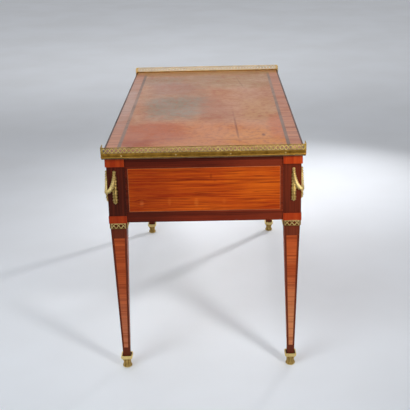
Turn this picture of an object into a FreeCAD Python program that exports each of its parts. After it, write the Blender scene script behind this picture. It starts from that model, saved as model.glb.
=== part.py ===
import FreeCAD, Part
import math
import os

from FreeCAD import Vector as V

# A bureau plat: a flat writing table on four square tapering legs, with five drawers round a kneehole.
# Millimetres, +Z up. The length runs along X and the drawers open towards -Y.
# The origin is on the floor under the middle of the table. Left is -X and right is +X, as the sitter sees it.

# The wooden top
top_length = 1350.0
top_width = 628.0
writing_height = 750.0
top_thickness = 15.0
veneer_thickness = 1.5
lipping_width = 6.0
lipping_nose = 0.5
crossband_width = 34.5
stringing_width = 11.0
leather_thickness = 1.2

# Brass edging and pierced gallery at the two ends of the top
band_drop = 11.0
band_height = 14.5
band_thickness = 1.8
band_cove_depth = 0.7
band_fillet = 2.6
band_return = 36.0
gallery_height = 19.5
gallery_thickness = 1.8
gallery_rail = 2.8
gallery_post = 3.0
gallery_pitch = 12.7
gallery_wire = 3.0
pins_per_end = 4
pin_end_inset = 62.0
pin_head_radius = 2.6
pin_head_height = 2.0
pin_shank_radius = 0.9
pin_shank_length = 9.0
pin_hole_gap = 0.1

# Legs
leg_end_inset = 10.0
leg_side_inset = 12.0
block_size = 56.0
block_drop = 1.7
shaft_top_size = 52.0
shaft_foot_size = 22.6
tenon_size = 18.0
panel_depth = 1.2
panel_top_drop = 53.0
panel_foot_rise = 30.0
panel_top_edge = 7.4
panel_foot_edge = 5.8

# Veneered cap blocks on the two outer faces of each leg block
upper_cap_height = 27.0
upper_cap_stand = 3.5
lower_cap_height = 24.0
lower_cap_stand = 1.4

# Pierced collar plates under each leg block
collar_width = 47.0
collar_height = 18.5
collar_thickness = 3.0
collar_rail = 2.6
collar_pitch = 15.4
collar_wire = 2.8
collar_post = 2.0

# How far the strands of a pierced strip reach into its rails
strand_bite = 0.5

# Cast shoe under each leg
sabot_height = 45.0
sabot_rim_size = 38.0
sabot_rim_height = 12.0
sabot_rim_ease = 3.0
sabot_lip = 2.4
sabot_dish_depth = 5.0
sabot_neck_size = 26.0
sabot_neck_height = 28.0
sabot_waist_radius = 12.0
sabot_foot_radius = 15.8
sabot_foot_height = 10.0
sabot_tread_radius = 14.0
sabot_socket_gap = 0.1

# Garland hung over the outer corner of each block
garland_nail_inset = 23.5
garland_nail_drop = 45.0
garland_nail_radius = 5.2
garland_swag_depth = 62.0
garland_swag_radius = 4.3
garland_corner_radius = 5.0
garland_stand = 3.0
garland_bells = 3
garland_bell_length = 35.3
garland_bell_radius = 6.3
garland_bell_belly = 21.0
garland_waist_radius = 4.4
garland_tip_radius = 3.0

# Frieze carcase
frieze_height = 211.3
frieze_recess = 2.0
board_thickness = 22.0
rail_depth = 30.0
top_rail_height = 18.0
mid_rail_height = 15.0
bottom_rail_height = 20.3
kneehole_width = 560.0
partition_thickness = 20.0
field_thickness = 1.5
end_field_top_rail = 34.5
end_field_bottom_rail = 34.8
end_field_stile = 9.0
drawer_field_margin = 12.0
groove_width = 1.2
groove_depth = 1.5

# Drawers and their runners
drawer_gap = 1.0
drawer_rest_gap = 0.3
drawer_front_thickness = 20.0
drawer_back_space = 58.0
drawer_side_thickness = 10.0
drawer_side_drop = 8.0
drawer_bottom_thickness = 6.0
drawer_bottom_rise = 5.0
runner_width = 18.0
runner_height = 12.0
guide_rise = 10.0

# Keyhole plate, lock and ring pull of each drawer
plate_radius = 17.0
plate_thickness = 2.5
plate_rim_width = 2.2
plate_rim_stand = 0.8
ring_radius = 13.0
ring_wire_radius = 2.0
ring_stand = 5.0
ring_bore_gap = 0.6
lug_width = 5.0
lug_wall = 1.8
keyhole_radius = 2.4
keyhole_slot_width = 2.2
keyhole_slot_length = 6.5
lock_width = 44.0
lock_height = 34.0
lock_thickness = 9.0

# Places that follow from the sizes above
frieze_top = writing_height - top_thickness
frieze_bottom = frieze_top - frieze_height
veneer_bottom = writing_height - veneer_thickness
block_bottom = frieze_bottom - block_drop
collar_bottom = block_bottom - collar_height
block_x = top_length / 2 - leg_end_inset
block_y = top_width / 2 - leg_side_inset
inner_x = block_x - block_size
inner_y = block_y - block_size
leg_x = block_x - block_size / 2
leg_y = block_y - block_size / 2
face_x = block_x - frieze_recess
face_y = block_y - frieze_recess
band_bottom = writing_height - band_drop
band_top = band_bottom + band_height
dish_floor = sabot_height - sabot_dish_depth
knee_half = kneehole_width / 2
stile_outer = knee_half + partition_thickness
opening_height = (frieze_height - top_rail_height - mid_rail_height - bottom_rail_height) / 2
lower_sill = frieze_bottom + bottom_rail_height
lower_head = lower_sill + opening_height
upper_sill = lower_head + mid_rail_height
upper_head = upper_sill + opening_height
rail_y = (-face_y, rail_depth - face_y)
back_y = (face_y - board_thickness, face_y)
inside_y = (rail_depth - face_y, face_y - board_thickness)

corners = {
    "front_left": (-1, -1),
    "front_right": (1, -1),
    "back_left": (-1, 1),
    "back_right": (1, 1),
}
ends = {"left": -1, "right": 1}

# Drawer openings: the x values of their sides and the height of their sill
drawers = {
    "upper_left": (-inner_x, -stile_outer, upper_sill),
    "lower_left": (-inner_x, -stile_outer, lower_sill),
    "centre": (-knee_half, knee_half, upper_sill),
    "upper_right": (stile_outer, inner_x, upper_sill),
    "lower_right": (stile_outer, inner_x, lower_sill),
}


# A block between two x, two y and two z values, each pair in either order
def box(x, y, z):
    low = V(min(x), min(y), min(z))
    return Part.makeBox(max(x) - low.x, max(y) - low.y, max(z) - low.z, low)


# A closed level square of that side, centred on x, y
def square(size, z, x=0.0, y=0.0):
    h = size / 2
    points = [V(x - h, y - h, z), V(x + h, y - h, z), V(x + h, y + h, z), V(x - h, y + h, z)]
    return Part.makePolygon(points + points[:1])


def arc(start, middle, end):
    return Part.Arc(start, middle, end).toShape()


def line(start, end):
    return Part.makeLine(start, end)


# One solid from shapes that touch or overlap, with no leftover seams
def fuse(shapes):
    return shapes[0].multiFuse(shapes[1:]).removeSplitter().Solids[0]


def placed(shape, x, y, z=0.0):
    copy = shape.copy()
    copy.translate(V(x, y, z))
    return copy


# A copy turned about the upright line through x, y
def turned(shape, degrees, x=0.0, y=0.0):
    copy = shape.copy()
    copy.rotate(V(x, y, 0), V(0, 0, 1), degrees)
    return copy


# A copy mirrored from the +X +Y quarter into the quarter with those signs
def mirrored(shape, sx, sy):
    copy = shape
    if sx < 0:
        copy = copy.mirror(V(0, 0, 0), V(1, 0, 0))
    if sy < 0:
        copy = copy.mirror(V(0, 0, 0), V(0, 1, 0))
    return copy


# A pierced strip of two strands that swing between two rails and cross once per pitch.
# It stands on the XZ plane, centred on the origin with a crossing in the middle, and is extruded along +Y.
# Each strand is a chain of equal arcs, so an eye lies between crossings and a spandrel by each crossing.
def pierced_strip(length, height, thickness, rail, post, pitch, wire):
    rail_edge = height / 2 - rail
    swing = rail_edge + strand_bite - wire / 2
    radius = (pitch ** 2 / 4 + swing ** 2) / (2 * swing)
    sink = radius - swing
    inner, outer = radius - wire / 2, radius + wire / 2
    tip = math.sqrt(inner ** 2 - sink ** 2)
    limit = length / 2 - post
    cells = math.ceil(limit / pitch)

    # Half the height of an eye at a distance from its middle
    def eye_rise(run):
        return math.sqrt(inner ** 2 - run ** 2) - sink

    def eye(middle):
        left, right = max(middle - tip, -limit), min(middle + tip, limit)
        rise_left = eye_rise(left - middle) if left > middle - tip else 0.0
        rise_right = eye_rise(right - middle) if right < middle + tip else 0.0
        peak_at = min(max(middle, left + wire / 2), right - wire / 2)
        peak = eye_rise(peak_at - middle)
        edges = [arc(V(left, 0, rise_left), V(peak_at, 0, peak), V(right, 0, rise_right))]
        if rise_right:
            edges.append(line(V(right, 0, rise_right), V(right, 0, -rise_right)))
        edges.append(arc(V(right, 0, -rise_right), V(peak_at, 0, -peak), V(left, 0, -rise_left)))
        if rise_left:
            edges.append(line(V(left, 0, -rise_left), V(left, 0, rise_left)))
        return Part.Wire(edges)

    def spandrel(crossing, side):
        low = math.sqrt(outer ** 2 - pitch ** 2 / 4) - sink
        middle = (low + rail_edge) / 2
        half = pitch / 2 - math.sqrt(outer ** 2 - (rail_edge + sink) ** 2)
        bulge = pitch / 2 - math.sqrt(outer ** 2 - (middle + sink) ** 2)
        left, right = V(crossing - half, 0, side * rail_edge), V(crossing + half, 0, side * rail_edge)
        point = V(crossing, 0, side * low)
        return Part.Wire([
            line(left, right),
            arc(right, V(crossing + bulge, 0, side * middle), point),
            arc(point, V(crossing - bulge, 0, side * middle), left),
        ])

    holes = []
    for cell in range(-cells, cells):
        middle = (cell + 0.5) * pitch
        if limit - abs(middle) + tip > 2 * wire:
            holes.append(eye(middle))
    for crossing in range(1 - cells, cells):
        if abs(crossing) * pitch + pitch / 2 <= limit + post:
            holes += [spandrel(crossing * pitch, side) for side in (1, -1)]
    half, rise = length / 2, height / 2
    rim = [V(-half, 0, -rise), V(half, 0, -rise), V(half, 0, rise), V(-half, 0, rise)]
    face = Part.makeFace([Part.makePolygon(rim + rim[:1])] + holes, "Part::FaceMakerBullseye")
    return face.extrude(V(0, thickness, 0)).Solids[0]


# The shaft of the leg at +X +Y, with every face sunk by that much
def leg_shaft(sunk):
    top = square(shaft_top_size - 2 * sunk, block_bottom, leg_x, leg_y)
    foot = square(shaft_foot_size - 2 * sunk, dish_floor, leg_x, leg_y)
    return Part.makeLoft([top, foot], True, True)


def shaft_width(z):
    share = (z - dish_floor) / (block_bottom - dish_floor)
    return shaft_foot_size + share * (shaft_top_size - shaft_foot_size)


# Four tapering panels, one let flush into each face of the shaft of the leg at +X +Y
def leg_panels():
    top, foot = block_bottom - panel_top_drop, sabot_height + panel_foot_rise
    wide = shaft_width(top) / 2 - panel_top_edge
    narrow = shaft_width(foot) / 2 - panel_foot_edge
    points = [V(leg_x - wide, leg_y, top), V(leg_x + wide, leg_y, top),
              V(leg_x + narrow, leg_y, foot), V(leg_x - narrow, leg_y, foot)]
    outline = Part.Face(Part.makePolygon(points + points[:1]))
    skin = leg_shaft(0.0).cut(leg_shaft(panel_depth))
    panel = outline.extrude(V(0, shaft_top_size, 0)).common(skin).Solids[0]
    return [turned(panel, 90 * quarter, leg_x, leg_y) for quarter in range(4)]


# A square block over a tapering shaft, with recesses for the panels and a tenon into the shoe
def leg(sx, sy):
    block = box((inner_x, block_x), (inner_y, block_y), (block_bottom, frieze_top))
    h = tenon_size / 2
    tenon = box((leg_x - h, leg_x + h), (leg_y - h, leg_y + h), (sabot_neck_height, dish_floor))
    whole = fuse([block, leg_shaft(0.0), tenon])
    return mirrored(whole.cut(Part.makeCompound(leg_panels())).Solids[0], sx, sy)


# An L-shaped plate on the two outer faces of the block at +X +Y, standing proud of them
def corner_plate(height, stand, z):
    whole = box((inner_x, block_x + stand), (inner_y, block_y + stand), (z, z + height))
    return whole.cut(box((inner_x, block_x), (inner_y, block_y), (z, z + height))).Solids[0]


def cap_blocks():
    upper = corner_plate(upper_cap_height, upper_cap_stand, frieze_top - upper_cap_height)
    lower = corner_plate(lower_cap_height, lower_cap_stand, block_bottom)
    return [mirrored(plate, sx, sy) for sx, sy in corners.values() for plate in (upper, lower)]


# A pierced plate on each face of the head of each shaft
def collars():
    strip = pierced_strip(collar_width, collar_height, collar_thickness, collar_rail, collar_post,
                          collar_pitch, collar_wire)
    side = placed(strip, 0, -shaft_top_size / 2 - collar_thickness, collar_bottom + collar_height / 2)
    plates = [turned(side, 90 * quarter) for quarter in range(4)]
    return [placed(plate, sx * leg_x, sy * leg_y) for sx, sy in corners.values() for plate in plates]


# A cast shoe: a square dish with a flared rim over a round waisted foot, bored square for the leg's tenon
def sabot(sx, sy):
    ease, rim, neck = sabot_rim_ease, sabot_rim_size, sabot_neck_size
    rim_low = sabot_height - sabot_rim_height
    cup = Part.makeLoft([
        square(neck, sabot_neck_height),
        square(neck, rim_low),
        square(rim - ease, rim_low + ease),
        square(rim, rim_low + 2 * ease),
        square(rim, sabot_height - ease),
        square(rim - ease, sabot_height),
    ], True, True)
    tread, low, high = sabot_tread_radius, sabot_foot_height, sabot_neck_height
    profile = Part.Wire([
        line(V(0, 0, 0), V(tread, 0, 0)),
        arc(V(tread, 0, 0), V(sabot_foot_radius, 0, low / 2), V(tread, 0, low)),
        arc(V(tread, 0, low), V(sabot_waist_radius, 0, (low + high) / 2), V(neck / 2, 0, high)),
        line(V(neck / 2, 0, high), V(0, 0, high)),
        line(V(0, 0, high), V(0, 0, 0)),
    ])
    foot = Part.Face(profile).revolve(V(0, 0, 0), V(0, 0, 1), 360)
    dish = Part.Face(square(rim - ease - 2 * sabot_lip, dish_floor)).extrude(V(0, 0, sabot_dish_depth))
    h = tenon_size / 2 + sabot_socket_gap
    socket = box((-h, h), (-h, h), (sabot_neck_height, dish_floor))
    return placed(fuse([cup, foot]).cut(dish).cut(socket).Solids[0], sx * leg_x, sy * leg_y)


# A tail of bell husks, one under the other, turned about the upright through the origin and hanging from it
def garland_tail():
    edges = [line(V(0, 0, 0), V(garland_waist_radius, 0, 0))]
    for bell in range(garland_bells):
        top = -bell * garland_bell_length
        foot = top - garland_bell_length
        end = garland_tip_radius if bell == garland_bells - 1 else garland_waist_radius
        belly = V(garland_bell_radius, 0, top - garland_bell_belly)
        edges.append(arc(V(garland_waist_radius, 0, top), belly, V(end, 0, foot)))
    edges.append(line(V(garland_tip_radius, 0, foot), V(0, 0, foot)))
    edges.append(line(V(0, 0, foot), V(0, 0, 0)))
    return Part.Face(Part.Wire(edges)).revolve(V(0, 0, 0), V(0, 0, 1), 360)


# A garland slung over a block's outer corner from a nail on each outer face, with a tail under each nail.
# Each half of it is an arc that comes down to the corner at 45 degrees.
def garland(sx, sy):
    out_x, out_y = block_x + garland_stand, block_y + garland_stand
    nail_x, nail_y = block_x - garland_nail_inset, block_y - garland_nail_inset
    nail_z = frieze_top - garland_nail_drop
    run, drop = garland_nail_inset + garland_stand, garland_swag_depth
    reach = (run ** 2 + drop ** 2) / (2 * (drop - run))
    sweep = 45 + math.degrees(math.atan2(drop - reach, run + reach))
    shapes = [placed(Part.makeSphere(garland_corner_radius), out_x, out_y, nail_z - drop)]
    for nail, across, axis in ((V(out_x, nail_y, nail_z), V(0, 1, 0), V(1, 0, 0)),
                               (V(nail_x, out_y, nail_z), V(1, 0, 0), V(0, -1, 0))):
        centre = nail + across * (run + reach) + V(0, 0, reach - drop)
        section = Part.Circle(nail, axis.cross(nail - centre), garland_swag_radius).toShape()
        shapes.append(Part.Face(Part.Wire([section])).revolve(centre, axis, sweep))
        shapes.append(placed(garland_tail(), nail.x, nail.y, nail.z))
        shapes.append(placed(Part.makeSphere(garland_nail_radius), nail.x, nail.y, nail.z))
    block = box((inner_x, block_x), (inner_y, block_y), (block_bottom, frieze_top))
    return mirrored(fuse(shapes).cut(block).Solids[0], sx, sy)


def top_board():
    half_y = top_width / 2 - lipping_width
    board = box((-top_length / 2, top_length / 2), (-half_y, half_y), (frieze_top, veneer_bottom))
    holes = [pin_hole(side, y) for side in ends.values() for y in pin_places()]
    return board.cut(Part.makeCompound(holes)).Solids[0]


# A solid strip with a rounded nose along each long edge of the top
def lippings():
    edge = top_width / 2
    inner, shoulder = edge - lipping_width, edge - lipping_nose
    x = -top_length / 2
    low, high = frieze_top, writing_height
    profile = Part.Wire([
        line(V(x, inner, low), V(x, shoulder, low)),
        arc(V(x, shoulder, low), V(x, edge, (low + high) / 2), V(x, shoulder, high)),
        line(V(x, shoulder, high), V(x, inner, high)),
        line(V(x, inner, high), V(x, inner, low)),
    ])
    strip = Part.Face(profile).extrude(V(top_length, 0, 0))
    return [strip, mirrored(strip, 1, -1)]


# Four flat strips of veneer mitred round a rectangle with those outer half sizes
def mitred_frame(half_x, half_y, width):
    z = veneer_bottom
    outer = [V(-half_x, -half_y, z), V(half_x, -half_y, z), V(half_x, half_y, z), V(-half_x, half_y, z)]
    in_x, in_y = half_x - width, half_y - width
    inner = [V(-in_x, -in_y, z), V(in_x, -in_y, z), V(in_x, in_y, z), V(-in_x, in_y, z)]
    strips = []
    for i in range(4):
        j = (i + 1) % 4
        outline = Part.makePolygon([outer[i], outer[j], inner[j], inner[i], outer[i]])
        strips.append(Part.Face(outline).extrude(V(0, 0, veneer_thickness)))
    return strips


def crossbanding():
    return mitred_frame(top_length / 2, top_width / 2 - lipping_width, crossband_width)


def stringing():
    half_y = top_width / 2 - lipping_width - crossband_width
    return mitred_frame(top_length / 2 - crossband_width, half_y, stringing_width)


def leather():
    half_x = top_length / 2 - crossband_width - stringing_width
    half_y = top_width / 2 - lipping_width - crossband_width - stringing_width
    return box((-half_x, half_x), (-half_y, half_y), (veneer_bottom, veneer_bottom + leather_thickness))


# Where the pins stand along an end of the top
def pin_places():
    reach = top_width / 2 - pin_end_inset
    return [reach * (2 * i / (pins_per_end - 1) - 1) for i in range(pins_per_end)]


def pin_height():
    return band_bottom + band_height / 2


# A hole for one pin's shank through the band and into the end of the board
def pin_hole(side, y):
    start = V(side * (top_length / 2 + band_thickness), y, pin_height())
    radius = pin_shank_radius + pin_hole_gap
    return Part.makeCylinder(radius, band_thickness + pin_shank_length, start, V(-side, 0, 0))


# How far out the backs of the pins' heads rest on the band's hollow
def pin_seat():
    half = band_height / 2 - band_fillet
    hollow = (half ** 2 + band_cove_depth ** 2) / (2 * band_cove_depth)
    rise = hollow - math.sqrt(hollow ** 2 - pin_head_radius ** 2)
    return top_length / 2 + band_thickness - band_cove_depth + rise


# Round-headed pins that hold the bands to the ends of the top, turned about their own lines
def pins():
    r, h = pin_head_radius, pin_head_height
    dome = (r ** 2 + h ** 2) / (2 * h)
    half_angle = math.atan2(r, dome - h) / 2
    crown = V(h - dome + dome * math.cos(half_angle), 0, dome * math.sin(half_angle))
    profile = Part.Wire([
        line(V(h, 0, 0), V(-pin_shank_length, 0, 0)),
        line(V(-pin_shank_length, 0, 0), V(-pin_shank_length, 0, pin_shank_radius)),
        line(V(-pin_shank_length, 0, pin_shank_radius), V(0, 0, pin_shank_radius)),
        line(V(0, 0, pin_shank_radius), V(0, 0, r)),
        arc(V(0, 0, r), crown, V(h, 0, 0)),
    ])
    pin = Part.Face(profile).revolve(V(0, 0, 0), V(1, 0, 0), 360)
    row = [placed(pin, pin_seat(), y, pin_height()) for y in pin_places()]
    return [mirrored(one, side, 1) for side in ends.values() for one in row]


# The moulded brass edging round one end of the top, mitred in three lengths: a fillet, a hollow and a fillet
def band(side):
    half_x, half_y, t = top_length / 2, top_width / 2, band_thickness
    x, y, out = half_x - band_return, -half_y, -half_y - t
    z, hollow, lip, top = band_bottom, band_bottom + band_fillet, band_top - band_fillet, band_top
    path = Part.makePolygon([V(x, y, z), V(half_x, y, z), V(half_x, half_y, z), V(x, half_y, z)])
    profile = Part.Wire([
        line(V(x, y, z), V(x, out, z)),
        line(V(x, out, z), V(x, out, hollow)),
        arc(V(x, out, hollow), V(x, out + band_cove_depth, (hollow + lip) / 2), V(x, out, lip)),
        line(V(x, out, lip), V(x, out, top)),
        line(V(x, out, top), V(x, y, top)),
        line(V(x, y, top), V(x, y, z)),
    ])
    sweep = Part.BRepOffsetAPI.MakePipeShell(path)
    sweep.setTransitionMode(1)
    sweep.add(profile)
    sweep.build()
    sweep.makeSolid()
    whole = sweep.shape().Solids[0].cut(Part.makeCompound([pin_hole(1, y) for y in pin_places()]))

    # The part of the sweep that stands over a four-cornered plan
    def length_over(plan):
        points = [V(px, py, z) for px, py in plan]
        prism = Part.Face(Part.makePolygon(points + points[:1])).extrude(V(0, 0, band_height))
        return whole.common(prism).Solids[0]

    far_x, far_y = half_x + t, half_y + t
    across = length_over([(half_x, -half_y), (far_x, -far_y), (far_x, far_y), (half_x, half_y)])
    back = length_over([(x, half_y), (half_x, half_y), (far_x, far_y), (x, far_y)])
    return [mirrored(s, side, 1) for s in (across, back, mirrored(back, 1, -1))]


# The pierced gallery on one band: a strip across the end and a short return at each corner
def gallery(side):
    half_x, half_y = top_length / 2 + band_thickness, top_width / 2 + band_thickness
    z = band_top + gallery_height / 2
    run = band_return + band_thickness - gallery_thickness

    def strip(length):
        return pierced_strip(length, gallery_height, gallery_thickness, gallery_rail, gallery_post,
                             gallery_pitch, gallery_wire)

    across = placed(turned(strip(2 * half_y), 90), half_x, 0, z)
    back = placed(strip(run), half_x - gallery_thickness - run / 2, -half_y, z)
    return [mirrored(s, side, 1) for s in (across, back, mirrored(back, 1, -1))]


def end_field(side):
    half_y = inner_y - end_field_stile
    z = (frieze_bottom + end_field_bottom_rail, frieze_top - end_field_top_rail)
    return mirrored(box((face_x - field_thickness, face_x), (-half_y, half_y), z), side, 1)


# The board across one end, with a shallow recess for its veneer field
def end_panel(side):
    board = box((face_x - board_thickness, face_x), (-inner_y, inner_y), (frieze_bottom, frieze_top))
    return mirrored(board.cut(end_field(1)).Solids[0], side, 1)


# Veneer fields on the back that repeat the drawers' layout
def back_fields():
    m = drawer_gap + drawer_field_margin
    y = (face_y - field_thickness, face_y)
    return [box((a + m, b - m), y, (sill + m, sill + opening_height - m)) for a, b, sill in drawers.values()]


# A fine groove round each false drawer on the back
def back_grooves():
    w = groove_width
    y = (face_y - groove_depth, face_y)
    grooves = []
    for a, b, sill in drawers.values():
        head = sill + opening_height
        grooves.append(box((a, b), y, (sill, head)).cut(box((a + w, b - w), y, (sill + w, head - w))))
    return grooves


# Three boards across the back, the middle one raised over the kneehole
def back_boards():
    spans = [(-inner_x, -knee_half, frieze_bottom), (-knee_half, knee_half, lower_head),
             (knee_half, inner_x, frieze_bottom)]
    cuts = Part.makeCompound(back_fields() + back_grooves())
    return [box((a, b), back_y, (low, frieze_top)).cut(cuts).Solids[0] for a, b, low in spans]


def front_top_rail():
    return box((-inner_x, inner_x), rail_y, (upper_head, frieze_top))


# The rails under the upper drawers and those under the lower ones
def front_rails():
    sides = [(-inner_x, -stile_outer), (stile_outer, inner_x)]
    upper = [box(x, rail_y, (lower_head, upper_sill)) for x in sides + [(-knee_half, knee_half)]]
    return upper + [box(x, rail_y, (frieze_bottom, lower_sill)) for x in sides]


def front_stiles():
    return [box((s * knee_half, s * stile_outer), rail_y, (frieze_bottom, upper_head)) for s in ends.values()]


# The board between the kneehole and the drawers beside it
def partition(side):
    return box((side * knee_half, side * stile_outer), inside_y, (frieze_bottom, frieze_top))


# Two runners under each drawer, from the front rail to the back board, and a guide beside each outer runner
def runners():
    solids = []
    guide_y = (-inner_y, inner_y)
    for a, b, sill in drawers.values():
        z = (sill - runner_height, sill)
        solids += [box((a, a + runner_width), inside_y, z), box((b - runner_width, b), inside_y, z)]
    for side in ends.values():
        for sill in (lower_sill, upper_sill):
            x = (side * inner_x, side * (face_x - board_thickness))
            solids.append(box(x, guide_y, (sill - runner_height, sill + guide_rise)))
    return solids


# The x, y and z pairs of the space that a drawer's front fills
def front_space(name):
    a, b, sill = drawers[name]
    return ((a + drawer_gap, b - drawer_gap), (-face_y, drawer_front_thickness - face_y),
            (sill + drawer_gap, sill + opening_height - drawer_gap))


def front_middle(name):
    x, y, z = front_space(name)
    return V(sum(x) / 2, y[0], sum(z) / 2)


# A keyhole through that depth from the front face of a drawer: a round with a slot below
def keyhole(name, depth):
    m = front_middle(name)
    h = keyhole_slot_width / 2
    bore = Part.makeCylinder(keyhole_radius, depth, m, V(0, 1, 0))
    return fuse([bore, box((m.x - h, m.x + h), (m.y, m.y + depth), (m.z - keyhole_slot_length, m.z))])


def field_space(name):
    x, y, z = front_space(name)
    m = drawer_field_margin
    return box((x[0] + m, x[1] - m), (y[0], y[0] + field_thickness), (z[0] + m, z[1] - m))


def drawer_field(name):
    return field_space(name).cut(keyhole(name, field_thickness)).Solids[0]


def drawer_front(name):
    board = box(*front_space(name)).cut(field_space(name))
    return board.cut(keyhole(name, drawer_front_thickness)).Solids[0]


# Two sides, a back and a bottom behind a drawer's front, just clear of the runners
def drawer_box(name):
    x, y, z = front_space(name)
    t = drawer_side_thickness
    low, high = drawers[name][2] + drawer_rest_gap, z[1] - drawer_side_drop
    start, end = y[1], face_y - board_thickness - drawer_back_space
    floor = low + drawer_bottom_rise
    return [
        box((x[0], x[0] + t), (start, end), (low, high)),
        box((x[1] - t, x[1]), (start, end), (low, high)),
        box((x[0] + t, x[1] - t), (end - t, end), (low, high)),
        box((x[0] + t, x[1] - t), (start, end - t), (floor, floor + drawer_bottom_thickness)),
    ]


# The line that a ring swings about: its middle
def ring_pivot(name):
    m = front_middle(name)
    return V(m.x, m.y - plate_thickness - ring_stand, m.z + ring_radius)


# A rimmed round plate about the keyhole, the bored lug on it that carries the ring, and the lock case
def drawer_lock(name):
    m, pivot = front_middle(name), ring_pivot(name)
    out = V(0, -1, 0)
    rim_top = plate_thickness + plate_rim_stand
    disc = Part.makeCylinder(plate_radius, rim_top, m, out)
    dish = Part.makeCylinder(plate_radius - plate_rim_width, plate_rim_stand, m + out * plate_thickness, out)
    keyway = placed(keyhole(name, rim_top), 0, -rim_top)
    bore = ring_wire_radius + ring_bore_gap
    size, h = bore + lug_wall, lug_width / 2
    eye = Part.makeCylinder(size, lug_width, pivot - V(h, 0, 0), V(1, 0, 0))
    stem = box((m.x - h, m.x + h), (m.y - plate_thickness, pivot.y), (pivot.z - size, pivot.z + size))
    hole = Part.makeCylinder(bore, lug_width, pivot - V(h, 0, 0), V(1, 0, 0))
    plate = disc.cut(dish).cut(keyway).cut(stem).Solids[0]
    lug = fuse([eye, stem]).cut(hole).Solids[0]
    back = drawer_front_thickness - face_y
    w, rise = lock_width / 2, lock_height / 2
    case = box((m.x - w, m.x + w), (back, back + lock_thickness), (m.z - rise, m.z + rise))
    return [plate, lug, case]


# The ring that hangs from the lug
def drawer_ring(name):
    return Part.makeTorus(ring_radius, ring_wire_radius, ring_pivot(name) - V(0, 0, ring_radius), V(0, 1, 0))


# Every sub-part by name, each as a list of solids
def all_nodes():
    nodes = {}
    for name, (sx, sy) in corners.items():
        nodes["leg_" + name] = [leg(sx, sy)]
        nodes["sabot_" + name] = [sabot(sx, sy)]
        nodes["garland_" + name] = [garland(sx, sy)]
    nodes["leg_veneer_panels"] = [mirrored(p, sx, sy) for sx, sy in corners.values() for p in leg_panels()]
    nodes["leg_cap_blocks"] = cap_blocks()
    nodes["leg_collars"] = collars()
    nodes["top_board"] = [top_board()]
    nodes["top_edge_lippings"] = lippings()
    nodes["top_crossbanding"] = crossbanding()
    nodes["top_stringing"] = stringing()
    nodes["leather_inset"] = [leather()]
    for name, side in ends.items():
        nodes["gallery_" + name] = gallery(side)
        nodes["gallery_band_" + name] = band(side)
        nodes["end_panel_" + name] = [end_panel(side)]
        nodes["partition_" + name] = [partition(side)]
    nodes["gallery_pins"] = pins()
    nodes["frieze_veneer_fields"] = [end_field(side) for side in ends.values()] + back_fields()
    nodes["back_boards"] = back_boards()
    nodes["front_top_rail"] = [front_top_rail()]
    nodes["front_rails"] = front_rails()
    nodes["front_stiles"] = front_stiles()
    nodes["drawer_runners"] = runners()
    for name in drawers:
        nodes["drawer_" + name + "_front"] = [drawer_front(name)]
        nodes["drawer_" + name + "_veneer"] = [drawer_field(name)]
        nodes["drawer_" + name + "_box"] = drawer_box(name)
        nodes["drawer_" + name + "_lock"] = drawer_lock(name)
        nodes["drawer_" + name + "_ring"] = [drawer_ring(name)]
    return nodes


os.makedirs("parts", exist_ok=True)
for node, solids in all_nodes().items():
    shape = solids[0] if len(solids) == 1 else Part.makeCompound(solids)
    sound = all(s.ShapeType == "Solid" and s.isValid() and s.Volume > 0 for s in solids)
    print(node, len(solids), round(shape.Volume / 1000, 2), "cm3", "sound" if sound else "unsound")
    shape.exportStep("parts/" + node + ".step")
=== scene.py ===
import math
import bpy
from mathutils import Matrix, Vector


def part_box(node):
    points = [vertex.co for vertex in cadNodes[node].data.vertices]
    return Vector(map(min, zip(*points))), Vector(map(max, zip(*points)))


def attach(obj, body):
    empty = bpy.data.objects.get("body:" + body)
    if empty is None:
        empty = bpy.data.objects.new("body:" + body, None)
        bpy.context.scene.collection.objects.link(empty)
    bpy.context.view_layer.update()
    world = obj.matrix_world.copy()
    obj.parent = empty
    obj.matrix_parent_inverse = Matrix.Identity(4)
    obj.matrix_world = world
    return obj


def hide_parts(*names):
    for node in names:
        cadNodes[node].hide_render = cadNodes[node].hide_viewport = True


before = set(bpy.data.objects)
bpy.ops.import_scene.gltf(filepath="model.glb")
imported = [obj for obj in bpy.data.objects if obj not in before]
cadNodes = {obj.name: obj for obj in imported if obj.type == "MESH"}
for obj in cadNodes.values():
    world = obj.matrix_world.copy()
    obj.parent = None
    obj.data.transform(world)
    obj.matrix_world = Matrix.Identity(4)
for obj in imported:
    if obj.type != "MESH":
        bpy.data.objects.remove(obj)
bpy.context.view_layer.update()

from fnmatch import fnmatch
from functools import partial

import bmesh
import bpy
import numpy as np
from mathutils import Matrix, Vector

scene = bpy.context.scene
scene.view_settings.view_transform = "Standard"
mm = 0.001
print("frame loaded:", len(cadNodes), "nodes")


# Camera, from the near end of the table and a little above it

cameraView = {
    "place": (3.3248, 0.0503, 1.4934),
    "down": 0.331444,      # radians below the level
    "swing": 0.018467,
    "tilt": -0.025305,
    "lens": 78.80,
}


# The camera tilts about its line of sight, rises from straight down, then turns to look along the table
def makeCamera(values):
    data = bpy.data.cameras.new("photoCamera")
    data.sensor_width = 36.0
    data.lens = values["lens"]
    data.clip_start, data.clip_end = 0.05, 200.0
    camera = bpy.data.objects.new("photoCamera", data)
    heading = Matrix.Rotation(math.pi / 2 + values["swing"], 4, "Z")
    raised = Matrix.Rotation(math.pi / 2 - values["down"], 4, "X")
    tilted = Matrix.Rotation(values["tilt"], 4, "Z")
    camera.matrix_world = Matrix.Translation(values["place"]) @ heading @ raised @ tilted
    scene.collection.objects.link(camera)
    scene.camera = camera


makeCamera(cameraView)
print("camera set")
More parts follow.
